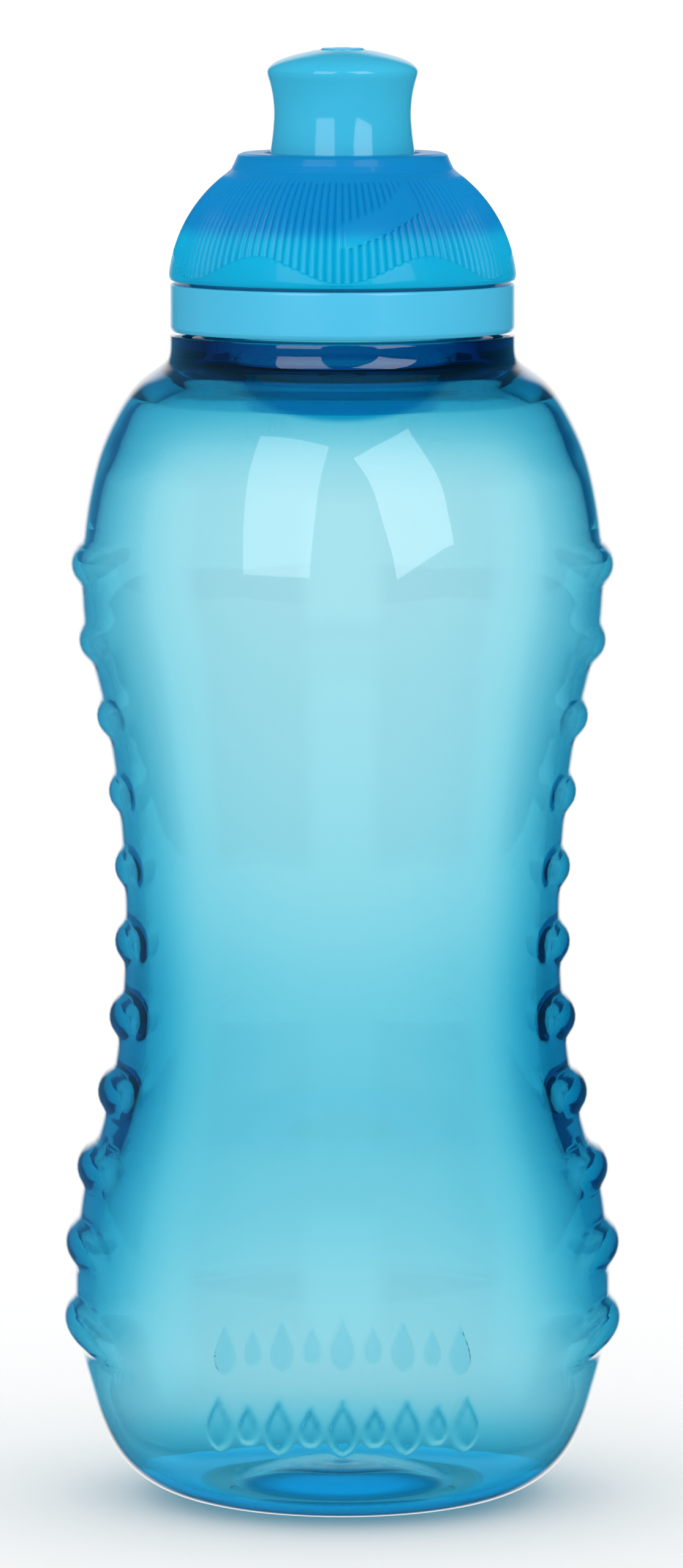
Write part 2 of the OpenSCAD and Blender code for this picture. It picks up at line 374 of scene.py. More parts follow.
def softbox(name, az, el, dist, w, h, power, roll=0.0):
    """An area light at a direction from the bottle's shoulder, facing it. Azimuth 0 is the front."""
    a, e = math.radians(az), math.radians(el)
    d = (math.sin(a) * math.cos(e), -math.cos(a) * math.cos(e), math.sin(e))
    at = (0.0, 0.0, 0.115)
    ld = bpy.data.lights.new(name, "AREA")
    ld.shape = "RECTANGLE"
    ld.size, ld.size_y = w, h
    ld.energy = power
    ob = bpy.data.objects.new(name, ld)
    scene.collection.objects.link(ob)
    ob.location = tuple(at[i] + d[i] * dist for i in range(3))
    from mathutils import Vector

    q = Vector(d).to_track_quat("Z", "Y")
    ob.rotation_euler = q.to_euler()
    ob.rotation_euler.rotate_axis("Z", math.radians(roll))
    ob.visible_camera = False
    ob.visible_transmission = False
    ob.light_linking.receiver_collection = lit_pieces
    return ob


softbox("window_left", -29, 24, 2.0, 1.15, 1.7, 15)
softbox("window_right", 31, 25, 2.0, 1.05, 1.6, 16, roll=16)

# A dim card low in front, met by reflections alone, keeps the windows off the lower half.
card_az = np.radians(np.linspace(-75, 75, 41))
card_v = [(0.12 * math.sin(a), -0.12 * math.cos(a), z) for z in (0.004, 0.108) for a in card_az]
card_f = [(i, i + 1, i + 42, i + 41) for i in range(40)]
card_me = bpy.data.meshes.new("card")
card_me.from_pydata(card_v, [], card_f)
card = bpy.data.objects.new("card", card_me)
scene.collection.objects.link(card)
card.visible_camera = False
card.visible_diffuse = False
card.visible_transmission = False
card.visible_volume_scatter = False
card.visible_shadow = False
card_mat = bpy.data.materials.new("card")
card_mat.use_nodes = True
cp = card_mat.node_tree.nodes["Principled BSDF"]
cp.inputs["Base Color"].default_value = (0, 0, 0, 1)
cp.inputs["Specular IOR Level"].default_value = 0.0
cp.inputs["Emission Color"].default_value = (0.10, 0.36, 0.55, 1)
cp.inputs["Emission Strength"].default_value = 0.5
card_me.materials.append(card_mat)

# --------------------------------------------------------------------------
# Materials
# --------------------------------------------------------------------------


def new_mat(name):
    m = bpy.data.materials.new(name)
    m.use_nodes = True
    nt = m.node_tree
    return m, nt, nt.nodes["Principled BSDF"], nt.nodes["Material Output"]


def bottle_material():
    m, nt, p, out = new_mat("bottle_plastic")
    p.inputs["Base Color"].default_value = (1, 1, 1, 1)
    p.inputs["Transmission Weight"].default_value = 1.0
    p.inputs["IOR"].default_value = 1.2
    p.inputs["Roughness"].default_value = 0.03
    p.inputs["Coat Weight"].default_value = 1.0
    p.inputs["Coat IOR"].default_value = 1.49
    p.inputs["Coat Roughness"].default_value = 0.03
    va = nt.nodes.new("ShaderNodeVolumeAbsorption")
    va.inputs["Color"].default_value = (0.004, 0.744, 0.859, 1)
    va.inputs["Density"].default_value = 750.0
    nt.links.new(va.outputs[0], out.inputs["Volume"])
    # blown walls: long shallow ripples that run round the bottle, and an uneven gloss
    tc = nt.nodes.new("ShaderNodeTexCoord")
    # painted shade: the tint is made deeper in a rounded patch under the neck, front and back, in place of the dark
    # refraction that the thick neck shows there
    place = nt.nodes.new("ShaderNodeSeparateXYZ")
    nt.links.new(tc.outputs["Object"], place.inputs[0])

    def step(op, a, b=None):
        q = nt.nodes.new("ShaderNodeMath")
        q.operation = op
        for k, v in enumerate((a, b)):
            if v is None:
                continue
            if isinstance(v, (int, float)):
                q.inputs[k].default_value = v
            else:
                nt.links.new(v, q.inputs[k])
        return q.outputs[0]

    across = step("DIVIDE", place.outputs["X"], 0.0122)
    down = step("DIVIDE", step("MAXIMUM", step("SUBTRACT", 0.1346, place.outputs["Z"]), 0.0), 0.0048)
    far = step("SQRT", step("ADD", step("MULTIPLY", across, across), step("MULTIPLY", down, down)))
    rim = nt.nodes.new("ShaderNodeMapRange")
    rim.interpolation_type = "SMOOTHSTEP"
    rim.inputs["From Min"].default_value = 1.06
    rim.inputs["From Max"].default_value = 0.90
    nt.links.new(far, rim.inputs["Value"])
    neck_shade_mask = step("MULTIPLY", rim.outputs[0], step("LESS_THAN", place.outputs["Z"], 0.1352))
    # painted shade under the neck: the deeper tint that the patch mixes into the base colour
    neck_shade_tint = nt.nodes.new("ShaderNodeMix")
    neck_shade_tint.data_type = "RGBA"
    neck_shade_tint.inputs[6].default_value = (1, 1, 1, 1)
    neck_shade_tint.inputs[7].default_value = (0.04, 0.60, 0.80, 1)
    nt.links.new(neck_shade_mask, neck_shade_tint.inputs["Factor"])
    # and its tint is deeper in the thick foot
    foot = nt.nodes.new("ShaderNodeMapRange")
    foot.interpolation_type = "SMOOTHSTEP"
    foot.inputs["From Min"].default_value = 0.0085
    foot.inputs["From Max"].default_value = 0.0015
    nt.links.new(place.outputs["Z"], foot.inputs["Value"])
    deep = nt.nodes.new("ShaderNodeMix")
    deep.data_type = "RGBA"
    deep.blend_type = "MULTIPLY"
    nt.links.new(foot.outputs[0], deep.inputs["Factor"])
    nt.links.new(neck_shade_tint.outputs[2], deep.inputs[6])
    deep.inputs[7].default_value = (0.35, 0.90, 1.0, 1)
    nt.links.new(deep.outputs[2], p.inputs["Base Color"])
    mp = nt.nodes.new("ShaderNodeMapping")
    mp.inputs["Scale"].default_value = (9.0, 9.0, 70.0)
    nt.links.new(tc.outputs["Object"], mp.inputs[0])
    ripple = nt.nodes.new("ShaderNodeTexNoise")
    ripple.inputs["Scale"].default_value = 2.2
    ripple.inputs["Detail"].default_value = 2.0
    nt.links.new(mp.outputs[0], ripple.inputs["Vector"])
    bp = nt.nodes.new("ShaderNodeBump")
    bp.inputs["Strength"].default_value = 0.035
    bp.inputs["Distance"].default_value = 0.0003
    nt.links.new(ripple.outputs[0], bp.inputs["Height"])
    nt.links.new(bp.outputs[0], p.inputs["Normal"])
    gloss = nt.nodes.new("ShaderNodeMapRange")
    gloss.inputs["To Min"].default_value = 0.02
    gloss.inputs["To Max"].default_value = 0.05
    nt.links.new(ripple.outputs[0], gloss.inputs["Value"])
    nt.links.new(gloss.outputs[0], p.inputs["Roughness"])
    return m


# --------------------------------------------------------------------------
# Bottle
# --------------------------------------------------------------------------

BASE = [[0, 2.6], [5.5, 2.44], [9.5, 1.56], [12.0, 0.42], [13.2, 0]]
SIDE = [[16.2, 0], [18.6, 0.35], [21.2, 1.1], [23.7, 2.35], [25.9, 4.2], [27.6, 6.6],
        [29.0, 9.8], [30.1, 13.4], [31.0, 17], [31.8, 22], [31.9, 27], [31.6, 32], [30.9, 37],
        [29.6, 41.5], [28.3, 46], [27.1, 52], [26.3, 59], [25.9, 67], [25.95, 73], [26.3, 79],
        [27.0, 86], [28.1, 93], [29.4, 98.5], [30.5, 103], [30.95, 108], [30.7, 114.5],
        [29.9, 120], [28.5, 125.2], [26.2, 130], [24.1, 132.8], [21.9, 134.5], [20.8, 135.4],
        [20.45, 136.4], [20.4, 137.9]]
RIB_Z = np.linspace(21.4, 111.4, 11)
RIB_R = 3.2
PEAK = [33.2, 33.05, 31.7, 29.2, 27.8, 27.1, 27.1, 27.8, 29.2, 31.3, 32.2]
OFF = [9, 11, 13, 14, 14.3, 14.5, 14.5, 14.5, 13.5, 11.5, 9]
TILT = [-21, -15, -11, -6, -2, 0, 0, 3, 8, 11, 13]


def rib_fields(ang, z, tube):
    """The ribs' outermost radius at each angle and height, or a very low number."""
    best = np.full(np.broadcast(ang, z).shape, -50.0)
    side = np.where(np.cos(ang) >= 0, 0.0, np.pi)
    # angle from the nearer side, 0 at +X or -X
    phi = np.abs((ang - side + np.pi) % (2 * np.pi) - np.pi)
    psi = np.linspace(0, np.radians(100), 200)
    for zi, pk, off, tilt in zip(RIB_Z, PEAK, OFF, TILT):
        ring = pk - RIB_R - off
        t = math.radians(tilt)
        dx = -ring * (1 - np.cos(psi))
        x = pk - RIB_R + dx * math.cos(t)
        y = ring * np.sin(psi)
        zc = zi - dx * math.sin(t)
        rc = np.hypot(x, y)
        ph = np.arctan2(y, x)
        slant = np.clip(np.cos(psi - ph), 0.35, 1)
        grow = ph < np.radians(60)
        rc_a = np.interp(phi, ph[grow], rc[grow])
        zc_a = np.interp(phi, ph[grow], zc[grow])
        sl_a = np.interp(phi, ph[grow], slant[grow])
        q = 1 - ((z - zc_a) / tube) ** 2
        r = np.where(q > 0, rc_a + tube / sl_a * np.sqrt(np.clip(q, 0, None)) , -50.0)
        r = np.where(phi > np.radians(55), -50.0, r)
        best = np.maximum(best, r)
    return best


def angles(coarse=True, motif=False):
    """Columns: fine round the ribs at +X and -X, coarse at the front and back, finest where the motif is."""
    quad = np.r_[np.arange(0, 40, 1.25), np.arange(40, 90, 3.125)]
    full = []
    for c in (0, 180):
        full += list(c + quad) + list(c + 180 - quad[1:]) + [c + 90.0]
    full = sorted(set(round(v % 360, 4) for v in full))
    if motif:
        extra = []
        for c in (90, 270):
            extra += list(np.arange(c - 40, c + 40.01, 0.625))
        full = sorted(set(full) | set(round(v % 360, 4) for v in extra))
    return np.radians(np.array(full))


def thread_bump(ang, z, z0, pitch, turns, foot, crest, height):
    """Height of a screw thread's tooth over its root at each angle and height."""
    best = np.zeros(np.broadcast(ang, z).shape)
    for k in range(-1, int(turns) + 2):
        a = ang + 2 * np.pi * k
        run = np.clip(np.minimum(a, 2 * np.pi * turns - a) / math.radians(28), 0, 1)
        run = run * run * (3 - 2 * run)
        d = np.abs(z - (z0 + pitch * a / (2 * np.pi)))
        tooth = np.clip((foot - d) / (foot - crest), 0, 1)
        best = np.maximum(best, height * run * (tooth * tooth * (3 - 2 * tooth)))
    return best


def drops(u, v):
    """A row of raised water drops: height from 0 to 1 at (u, v) mm from the row's middle."""
    best = np.zeros(np.broadcast(u, v).shape)
    for i in range(9):
        cu = (i - 4) * 3.75
        s = 1.0 if i % 2 == 0 else 0.74
        lo = -3.1 * s
        top = 3.3 * s
        w = 1.45 * s
        # round foot, tapering to a soft point
        t = np.clip((v - lo) / (top - lo), 0, 1)
        half = w * np.sqrt(np.clip(1 - ((np.minimum(t, 0.36) - 0.36) / 0.36) ** 2, 0, 1))
        half = np.where(t > 0.36, w * (1 - smooth(t, 0.36, 1.02)) ** 0.85, half)
        inside = (half - np.abs(u - cu)) / 0.42
        inside = np.where((v < lo) | (v > top), -1, inside)
        best = np.maximum(best, np.clip(inside + 0.5, 0, 1))
    return best * best * (3 - 2 * best)


def wall_at(z):
    return np.interp(
        z,
        [0, 5, 9, 13, 20, 29, 40, 50, 60, 70, 85, 95, 116, 122, 127, 131, 134],
        [1.05, 0.95, 0.8, 0.70, 0.72, 1.0, 1.18, 1.28, 1.15, 0.88, 0.73, 0.66, 0.58, 0.62, 0.95, 1.5, 1.9],
    )


def wall_round(ang):
    """The blown wall is thinnest at the front and back, and thicker round the two sides."""
    off = np.degrees(np.abs((ang + np.pi / 2 + np.pi / 2) % np.pi - np.pi / 2))
    return 1 + 0.85 * smooth(off, 38, 80)


def build_bottle():
    base = respace(curve(BASE, 6), 1.5)
    side = curve(SIDE, 8)
    heel = respace(side[side[:, 1] < 8.6], 0.9)
    mark = side[(side[:, 1] >= 8.6) & (side[:, 1] <= 17.2)]
    zs_mark = np.arange(8.8, 17.01, 0.36)
    zs_ribs = np.arange(17.5, 115.6, 0.64)
    up = side[side[:, 1] > 115.6]
    z_mono = side[:, 1]
    r_of = lambda zz: np.interp(zz, z_mono, side[:, 0])
    mark = np.c_[r_of(zs_mark), zs_mark]
    ribs = np.c_[r_of(zs_ribs), zs_ribs]
    shoulder = np.vstack([respace(up[up[:, 1] < 127.5], 1.0), respace(up[up[:, 1] >= 127.5], 0.5)])
    top = rounded([shoulder[-1], (20.38, 138.5, 0.45), (15.2, 138.5, 0.5), (15.2, 141.0, 0)], 0.4)[1:]
    neck = np.array([[15.2, z] for z in np.arange(141.25, 148.9, 0.25)])
    rim = rounded([(15.2, 148.95), (15.2, 149.6, 0.4), (13.4, 149.6, 0.4), (13.4, 148.6)], 0.4)
    # inside, from the mouth down
    ins_neck = [[13.4, 148.0], [13.4, 145.0], [13.4, 142.0], [13.4, 139.0]]
    ins_knots = curve([[13.4, 137.6], [13.42, 136.2], [13.75, 135.1], [14.9, 134.35], [17.2, 133.85], [19.4, 133.2], [21.3, 132.2]], 5)
    in_mark, in_ribs = np.arange(8.8, 17.01, 0.8), np.arange(17.6, 115.4, 1.0)
    mark_in, ribs_in = np.c_[r_of(in_mark), in_mark], np.c_[r_of(in_ribs), in_ribs]
    outer_all = np.vstack([base, heel, mark_in, ribs_in, shoulder])
    ok = outer_all[:, 1] < 131.9
    inner = inward(outer_all, wall_at(outer_all[:, 1]))[ok]
    inner[0] = [0, 2.6 + 1.4]
    n_b, n_h, n_m, n_r = len(base), len(heel), len(mark_in), len(ribs_in)
    A, M = angles(), angles(motif=True)
    rows = []

    def put(r, z, kind):
        if abs(r) < 1e-6:
            rows.append((None, 0, z))
            return
        if kind == "mark":
            ang = M
            rr = np.full(len(ang), r)
            # the motif runs round the front and the back
            for c in (-np.pi / 2, np.pi / 2):
                d = (ang - c + np.pi) % (2 * np.pi) - np.pi
                rr = rr + 0.42 * drops(d * r, np.full(len(ang), z - 12.9))
        elif kind == "rib":
            ang = A
            b = rib_fields(ang, np.full(len(ang), z), RIB_R)
            rr = soft_max(b, np.full(len(ang), r), 0.45)
        elif kind == "rib_in":
            ang = A
            w = float(wall_at(z))
            more = w * (wall_round(ang) - 1) * smooth(z, 11, 22)
            b = rib_fields(ang, np.full(len(ang), z), RIB_R - w) - more
            rr = soft_max(b, r - more, 0.6)
        elif kind == "in":
            ang = A
            more = float(wall_at(z)) * (wall_round(ang) - 1) * smooth(z, 11, 22) * (1 - smooth(z, 124, 131))
            rr = r - more
        elif kind == "neck":
            ang = A
            rr = r + thread_bump(ang, np.full(len(ang), z), 141.5, 4.0, 1.5, 1.0, 0.5, 1.0)
        else:
            ang = A
            rr = np.full(len(ang), r)
        rows.append((ang, rr, np.full(len(ang), z)))

    for r, z in base: put(r, z, "")
    for r, z in heel: put(r, z, "")
    for r, z in mark: put(r, z, "mark")
    for r, z in ribs: put(r, z, "rib")
    for r, z in shoulder: put(r, z, "")
    for r, z in top: put(r, z, "neck" if z > 139 and r < 15.3 else "")
    for r, z in neck: put(r, z, "neck")
    for r, z in rim: put(r, z, "")
    for r, z in ins_neck: put(r, z, "")
    for r, z in ins_knots: put(r, z, "in" if z < 134.3 else "")
    kinds = [""] * n_b + ["in"] * (n_h + n_m) + ["rib_in"] * n_r + ["in"] * len(shoulder)
    kinds = [k for k, o in zip(kinds, ok) if o]
    for (r, z), k in reversed(list(zip(inner, kinds))):
        put(r, z, k)
    return ring_mesh("bottle_shell", rows)


bottle = build_bottle()
print("bottle faces", len(bottle.data.polygons), sum(len(f.vertices) - 2 for f in bottle.data.polygons))
bottle.data.materials.append(bottle_material())
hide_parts("bottle_body", "bottle_neck")
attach(bottle, "bottle")

# --------------------------------------------------------------------------
# Parts of the cap
# --------------------------------------------------------------------------


def support(line, d=0.14, longer=0.7):
    """line with extra points just inside the ends of its long stretches, so that shading stays flat."""
    out = [line[0]]
    for a, b in zip(line[:-1], line[1:]):
        run = float(np.hypot(*(b - a)))
        if run > longer:
            out += [a + (b - a) * d / run, b - (b - a) * d / run]
        out.append(b)
    return np.array(out)


def section(points, r, n=4):
    """A closed section with rounded corners, begun in the middle of its last side."""
    p = [list(q) for q in points]
    mid = [(p[0][0] + p[-1][0]) / 2, (p[0][1] + p[-1][1]) / 2]
    return support(rounded([mid] + p + [mid], r, n)[:-1])


def combine(base, other, op):
    """base with other joined to it or cut from it."""
    m = base.modifiers.new("op", "BOOLEAN")
    m.operation, m.solver, m.object = op, "EXACT", other
    dg = bpy.context.evaluated_depsgraph_get()
    dg.update()
    me = bpy.data.meshes.new_from_object(base.evaluated_get(dg))
    old, name = base.data, base.data.name
    base.modifiers.clear()
    base.data = me
    bpy.data.meshes.remove(old)
    me.name = name
    gone = other.data
    bpy.data.objects.remove(other)
    bpy.data.meshes.remove(gone)


def sweep(name, sections, **kw):
    """A closed solid through a list of equal-length closed sections of (x, y, z) points."""
    n = len(sections[0])
    verts = [p for sec in sections for p in sec]
    faces = [tuple(range(n))[::-1], tuple((len(sections) - 1) * n + k for k in range(n))]
    for i in range(len(sections) - 1):
        for k in range(n):
            j = (k + 1) % n
            faces.append((i * n + k, i * n + j, (i + 1) * n + j, (i + 1) * n + k))
    return make(name, verts, faces, **kw)


def block(name, x0, x1, half, z0, z1, turn, soft=0.25):
    """A rounded bar along a radius: from x0 to x1, half wide each way, turned by an angle."""
    c, s = math.cos(turn), math.sin(turn)
    ring = rounded([(0, z0), (half, z0), (half, z1), (-half, z1), (-half, z0), (0, z0)], soft, 3)[:-1]
    secs = []
    for x in (x0, x1):
        secs.append([(x * c - y * s, x * s + y * c, z) for y, z in ring])
    return sweep(name, secs, sharp=math.radians(40))


def fix_faces(ob):
    """Face normals outwards and no doubled points."""
    import bmesh

    bm = bmesh.new()
    bm.from_mesh(ob.data)
    bmesh.ops.remove_doubles(bm, verts=bm.verts, dist=1e-7)
    bmesh.ops.recalc_face_normals(bm, faces=bm.faces)
    bm.to_mesh(ob.data)
    bm.free()


# ---- screw cap: collar, threaded drum, deck, tower, post, vanes and splines ----

def build_cap():
    n = 240
    ang = np.linspace(0, 2 * np.pi, n, endpoint=False)
    outside = rounded(
        [(19.0, 141.2), (19.0, 138.9, 0.15), (20.08, 138.9, 0.26), (20.3, 139.4, 0.5), (20.3, 144.5, 0.3), (18.0, 144.5, 0.25),
         (17.8, 146.55, 0.1), (18.4, 146.85, 0.18), (17.8, 147.35, 0.15), (17.75, 149.2, 0.6), (17.55, 150.9, 0.8), (16.7, 151.9, 0.5),
         (6.0, 151.9, 0.35), (6.0, 164.85, 0.12), (5.1, 164.85, 0.1), (5.1, 166.15, 0.1), (6.0, 166.15, 0.12), (6.0, 167.0, 0.35),
         (4.2, 167.0, 0.25), (4.2, 150.6, 0.3), (16.5, 150.6, 0.25), (16.5, 147.5, 0)], 0.2, 5)
    outside = support(outside)
    inside = np.array([[16.5, z] for z in np.arange(147.2, 139.7, -0.2)])
    skirt = support(rounded([(16.5, 139.75, 0), (16.75, 139.2, 0.3), (17.9, 139.2, 0.15), (17.9, 143.2, 0.2), (19.0, 143.2, 0.2), (19.0, 141.4, 0)], 0.2, 3))
    rows = []
    for line, threaded in ((outside, False), (inside, True), (skirt, False)):
        for r, z in line:
            rr = np.full(n, float(r))
            if threaded:
                rr = rr - thread_bump((ang - np.pi / 2) % (2 * np.pi), np.full(n, z), 141.05, 4.0, 1.0, 0.85, 0.4, 1.02)
            rows.append((ang, rr, np.full(n, float(z))))
    cap = ring_mesh("cap_moulding", rows, closed_loop=True, sharp=math.radians(38))
    post = turned("post", support(rounded(
        [(0, 150.6), (1.95, 150.6, 0.2), (2.55, 151.2, 0.3), (2.55, 172.2, 0.3), (1.1, 172.2, 0.2), (0.9, 171.95, 0.2), (0, 171.95)], 0.2, 4)),
        n=72, closed=False, sharp=math.radians(38))
    fix_faces(cap)
    fix_faces(post)
    for k in range(3):
        v = block("vane", 2.2, 4.6, 0.5, 150.6, 158.0, math.radians(90 + 120 * k))
        fix_faces(v)
        combine(post, v, "UNION")
    combine(cap, post, "UNION")
    for k in (90, 270):
        v = block("spline", 5.6, 6.55, 0.8, 151.7, 159.5, math.radians(k))
        fix_faces(v)
        combine(cap, v, "UNION")
    return cap


# ---- spout ----

def build_spout():
    lip = curve([[8.6, 159.4], [8.45, 160.5], [8.22, 162.3], [8.08, 164.4], [8.22, 166.4], [8.52, 167.9],
                 [8.86, 169.15], [8.72, 169.85], [7.9, 170.55], [6.6, 171.1], [5.0, 171.55], [3.5, 171.88]], 8)
    line = [[7.4, 152.8]] + list(map(list, rounded([(7.4, 152.8), (8.6, 152.8, 0.35), (8.6, 159.3)], 0.35, 5)[1:]))
    line += [list(q) for q in lip]
    line += [list(q) for q in rounded([(3.4, 171.9), (2.65, 172.0, 0.3), (2.65, 170.1, 0.3), (3.55, 169.3, 0.4), (5.2, 168.9, 0.4),
                                       (6.2, 168.1, 0.5), (6.2, 152.8, 0.35), (7.2, 152.8)], 0.35, 5)]
    line = support(np.array(line))
    sp = turned("spout_moulding", line, n=200, closed=True, sharp=math.radians(40))
    fix_faces(sp)
    for k in (90, 270):
        v = block("keyway", 5.0, 6.9, 1.0, 151.0, 160.2, math.radians(k), soft=0.3)
        fix_faces(v)
        combine(sp, v, "DIFFERENCE")
    for side in (1, -1):
        secs = []
        for x, r in ((8.0, 0.8), (9.95, 0.8), (10.1, 0.76), (10.2, 0.62)):
            secs.append([(side * x, side * r * math.cos(t), 153.7 + r * math.sin(t)) for t in np.linspace(0, 2 * np.pi, 32, endpoint=False)])
        pin = sweep("pin", secs, sharp=math.radians(40))
        fix_faces(pin)
        combine(sp, pin, "UNION")
    return sp


# ---- twisting dome ----

FLUTES = 120


def dome_r(z, d=0.0):
    return 3.56 + np.sqrt(np.maximum((17.0 - d) ** 2 - (z - 143.8) ** 2, 0.0))


def flute_mask(front, z):
    """1 where the dome is fluted, 0 where it is smooth. front: degrees from the front."""
    top = 1 - smooth(z, 156.75, 157.3)
    low = np.interp(front, [-4, 3, 14, 22, 31.5], [149.3, 149.6, 150.9, 152.1, 153.6])
    high = np.interp(front, [-4, 3, 14, 20, 26, 31.5], [152.3, 152.6, 153.9, 154.9, 156.3, 157.4])
    band = smooth(z - low, -0.12, 0.12) * smooth(high - z, -0.12, 0.2)
    band = band * smooth(front, -3.5, 3.5) * (1 - smooth(front, 30.5, 32.2))
    return top * (1 - band), low, band


def build_dome():
    few = np.radians(np.arange(240) * 1.5)
    many = np.radians(np.arange(960) * 0.375)
    front = (np.degrees(many) + 90 + 180) % 360 - 180
    wave = 147.0 - 1.5 * np.cos(np.radians(6 * front))
    u = (np.arange(960) % 8) / 8.0 - 0.5
    ridge = 1 - (2 * np.abs(u)) ** 1.7
    rows = []

    def plain(line):
        for r, z in line:
            rows.append((few, np.full(240, float(r)), np.full(240, float(z))))

    foot = support(rounded([(19.2, 144.9), (20.28, 144.9, 0.3), (20.43, 145.3, 0.2)], 0.3, 4))
    plain(foot)
    z0, z1 = 145.32, 157.3
    for t in np.linspace(0, 1, 9)[1:-1]:
        z = z0 + (wave - 0.07 - z0) * t
        rows.append((many, dome_r(z), z))
    for dz, dep in ((-0.07, 0.0), (0.0, 0.25), (0.07, 1.0)):
        z = wave + dz
        mask, low, band = flute_mask(front, z)
        rows.append((many, dome_r(z) - 0.36 * (1 - ridge) * mask * dep + 0.05 * (1 - abs(dz) / 0.07), z))
    for t in np.linspace(0, 1, 53)[1:]:
        z = wave + 0.07 + (z1 - wave - 0.07) * t
        mask, low, band = flute_mask(front, z)
        r = dome_r(z) - 0.36 * (1 - ridge) * mask
        # the smooth sweep stands a little proud along its lower edge
        edge = np.exp(-(((z - low - 0.1) / 0.16) ** 2)) * smooth(front, -2, 6) * (1 - smooth(front, 29, 32))
        rows.append((many, r + 0.12 * edge, z))
    top = rounded([(float(dome_r(157.36)), 157.36), (13.12, 157.95, 0.7), (12.72, 158.75, 0.6), (12.34, 159.66, 0.3), (11.75, 159.9, 0.35),
                   (9.3, 159.9, 0.3), (8.95, 159.55, 0.3), (8.9, 152.3, 0.2), (10.4, 152.3, 0.2), (10.4, 158.8, 0.3), (11.2, 158.8, 0.3),
                   (11.62, 157.5, 0.3)], 0.3, 5)
    plain(support(top))
    for z in np.linspace(156.6, 146.5, 22):
        rows.append((few, dome_r(np.full(240, z), 1.2), np.full(240, z)))
    plain(support(rounded([(18.35, 146.2), (18.1, 145.9, 0.2), (18.1, 144.9, 0.3), (19.0, 144.9)], 0.25, 4)))
    dome = ring_mesh("dome_moulding", rows, closed_loop=True, sharp=math.radians(50))
    fix_faces(dome)
    for a in (0, 180):
        secs = []
        for b in np.linspace(a - 97, a + 7, 27):
            z = 153.7 + 4.0 * (a - b) / 90.0
            t = math.radians(b)
            ring = [(r * math.cos(t), r * math.sin(t), z + q) for r, q in
                    ((7.9, -1.05), (11.1, -1.05), (11.1, 1.05), (7.9, 1.05))]
            secs.append(ring)
        slot = sweep("slot", secs)
        fix_faces(slot)
        notch = block("notch", 7.9, 11.1, 1.1, 151.3, 153.9, math.radians(a + 1), soft=0.05)
        fix_faces(notch)
        combine(slot, notch, "UNION")
        combine(dome, slot, "DIFFERENCE")
    return dome


# ---- seals ----

def build_neck_seal():
    line = rounded([(14.0, 149.6), (16.1, 149.6, 0.2), (16.3, 149.8, 0.15), (16.3, 150.4, 0.15), (16.1, 150.6, 0.2), (15.75, 150.6, 0.1),
                    (15.6, 150.5, 0.1), (14.25, 150.5, 0.1), (14.1, 150.6, 0.1), (13.7, 150.6, 0.2), (13.5, 150.4, 0.15),
                    (13.5, 149.8, 0.15), (13.7, 149.6, 0.15), (13.9, 149.6)], 0.15, 4)
    return turned("neck_gasket", support(line), n=160, closed=True, sharp=math.radians(40))


def build_spout_seal():
    line = []
    for t in np.linspace(0, 2 * np.pi, 40, endpoint=False):
        # a faint mould line stands on the ring's outer and inner edges
        r = 0.52 + 0.02 * math.exp(-((math.sin(t) / 0.12) ** 2)) - 0.02
        line.append((5.64 + r * math.cos(t), 165.5 + r * math.sin(t)))
    return turned("spout_ring", line, n=160, closed=True, sharp=math.radians(60))


# --------------------------------------------------------------------------
# Materials of the cap's parts
# --------------------------------------------------------------------------


def node(nt, kind, **kw):
    n = nt.nodes.new(kind)
    for k, v in kw.items():
        if k in n.inputs:
            n.inputs[k].default_value = v
        else:
            setattr(n, k, v)
    return n


def moulded(name, dark, light, scale, rough, bump, stretch=(1, 1, 1)):
    """A moulded plastic: cloudy pigment, uneven gloss and a faint surface relief."""
    m, nt, p, out = new_mat(name)
    tc = nt.nodes.new("ShaderNodeTexCoord")
    mp = nt.nodes.new("ShaderNodeMapping")
    mp.inputs["Scale"].default_value = stretch
    nt.links.new(tc.outputs["Object"], mp.inputs[0])
    cloud = node(nt, "ShaderNodeTexNoise", Scale=scale, Detail=3.0, Roughness=0.5)
    nt.links.new(mp.outputs[0], cloud.inputs["Vector"])
    ramp = nt.nodes.new("ShaderNodeValToRGB")
    ramp.color_ramp.elements[0].position = 0.3
    ramp.color_ramp.elements[1].position = 0.7
    ramp.color_ramp.elements[0].color = (*dark, 1)
    ramp.color_ramp.elements[1].color = (*light, 1)
    nt.links.new(cloud.outputs[0], ramp.inputs[0])
    nt.links.new(ramp.outputs[0], p.inputs["Base Color"])
    fine = node(nt, "ShaderNodeTexNoise", Scale=scale * 9, Detail=2.0)
    nt.links.new(mp.outputs[0], fine.inputs["Vector"])
    rr = nt.nodes.new("ShaderNodeMapRange")
    rr.inputs["To Min"].default_value = rough[0]
    rr.inputs["To Max"].default_value = rough[1]
    nt.links.new(fine.outputs[0], rr.inputs["Value"])
    nt.links.new(rr.outputs[0], p.inputs["Roughness"])
    bp = nt.nodes.new("ShaderNodeBump")
    bp.inputs["Strength"].default_value = bump
    bp.inputs["Distance"].default_value = 0.0002
    nt.links.new(fine.outputs[0], bp.inputs["Height"])
    nt.links.new(bp.outputs[0], p.inputs["Normal"])
    return m, nt, p


cap_mat, _, p = moulded("cap_plastic", (0.052, 0.37, 0.56), (0.060, 0.40, 0.60), 60.0, (0.15, 0.21), 0.05)
p.inputs["IOR"].default_value = 1.49
p.inputs["Subsurface Weight"].default_value = 0.12
p.inputs["Subsurface Radius"].default_value = (0.0004, 0.0010, 0.0014)

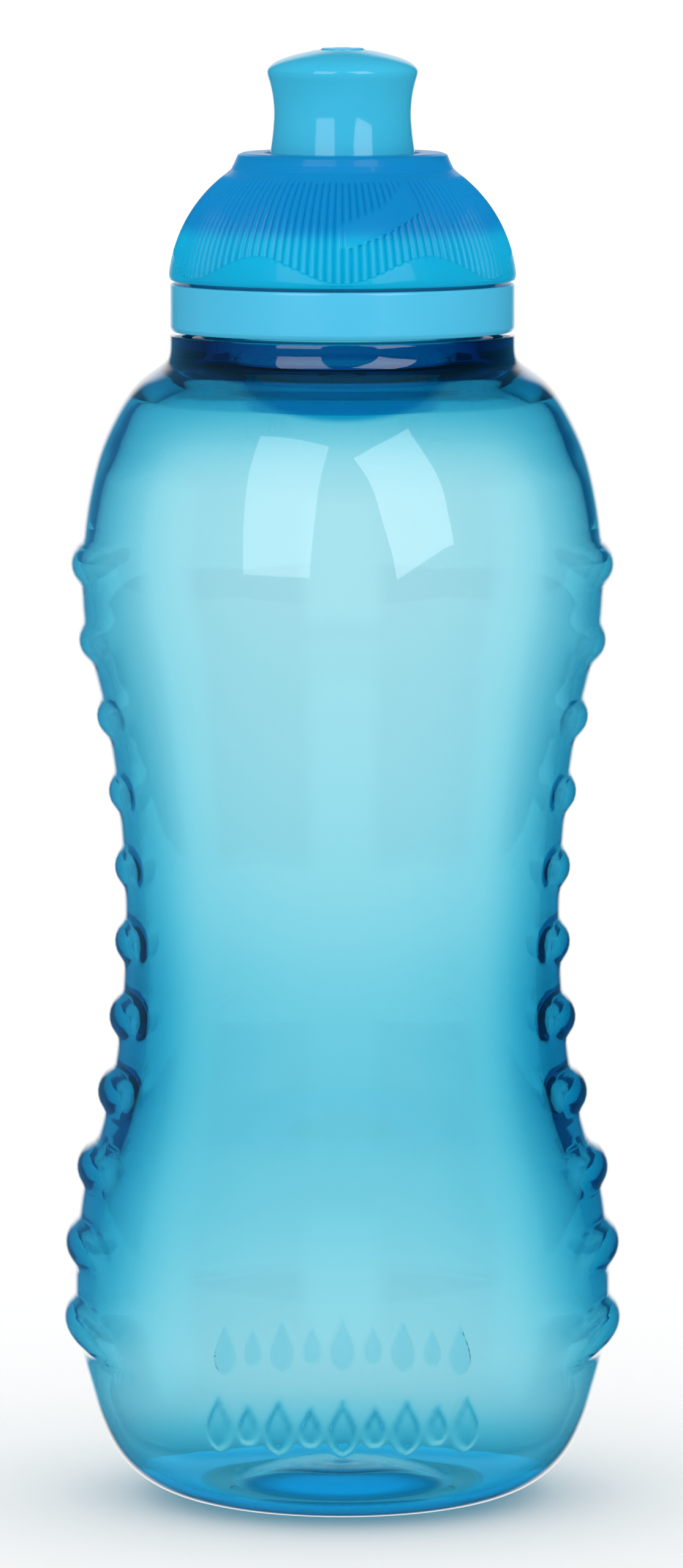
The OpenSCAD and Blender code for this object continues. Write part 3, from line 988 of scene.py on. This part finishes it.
spout_mat, _, p = moulded("spout_plastic", (0.034, 0.385, 0.585), (0.044, 0.415, 0.615), 50.0, (0.06, 0.12), 0.05)
p.inputs["IOR"].default_value = 1.49
p.inputs["Transmission Weight"].default_value = 0.12
p.inputs["Subsurface Weight"].default_value = 0.15
p.inputs["Subsurface Radius"].default_value = (0.0006, 0.0014, 0.0018)

dome_mat, nt, p = moulded("dome_plastic", (0.000, 0.58, 0.88), (0.001, 0.63, 0.92), 70.0, (0.26, 0.38), 0.15)
p.inputs["IOR"].default_value = 1.25
p.inputs["Transmission Weight"].default_value = 0.6
p.inputs["Specular IOR Level"].default_value = 0.03
p.inputs["Coat Weight"].default_value = 0.18
p.inputs["Coat Roughness"].default_value = 0.05
# painted shade: the crown above the drum is tinted darker than the skirt that closes over the drum, in place of the
# shade of the hollow seen through it
where = node(nt, "ShaderNodeTexCoord")
xyz = node(nt, "ShaderNodeSeparateXYZ")
nt.links.new(where.outputs["Object"], xyz.inputs[0])
band = node(nt, "ShaderNodeMapRange", interpolation_type="SMOOTHSTEP")
band.inputs["From Min"].default_value = 0.1498
band.inputs["From Max"].default_value = 0.1520
nt.links.new(xyz.outputs["Z"], band.inputs["Value"])
deep = node(nt, "ShaderNodeMix", data_type="RGBA", blend_type="MULTIPLY")
nt.links.new(band.outputs[0], deep.inputs["Factor"])
was = p.inputs["Base Color"].links[0].from_socket
nt.links.new(was, deep.inputs[6])
# the darkening colour of the painted shade on the crown
deep.inputs[7].default_value = (0.3, 0.62, 0.87, 1.0)
nt.links.new(deep.outputs[2], p.inputs["Base Color"])

seal_mat, _, p = moulded("seal_rubber", (0.70, 0.74, 0.75), (0.78, 0.81, 0.82), 80.0, (0.38, 0.55), 0.2)
p.inputs["Subsurface Weight"].default_value = 0.2
p.inputs["Subsurface Radius"].default_value = (0.0015, 0.0015, 0.0015)

cap = build_cap()
spout = build_spout()
dome = build_dome()
gasket = build_neck_seal()
oring = build_spout_seal()
for ob in (bottle, gasket, oring):
    fix_faces(ob)

for ob, material, node_name, body, slot_name in (
    (cap, cap_mat, "screw_cap", "cap", "cap_plastic"),
    (spout, spout_mat, "spout", "spout", "spout_plastic"),
    (dome, dome_mat, "twist_dome", "dome", "dome_plastic"),
    (gasket, seal_mat, "neck_seal", "seal", "seal_rubber"),
    (oring, seal_mat, "spout_seal", "cap", "seal_rubber"),
):
    ob.data.materials.clear()
    ob.data.materials.append(material)
    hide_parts(node_name)
    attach(ob, body)
    print(ob.name, len(ob.data.polygons), sum(len(f.vertices) - 2 for f in ob.data.polygons))

for ob in (bottle, cap, spout, dome, gasket, oring):
    lit_pieces.objects.link(ob)
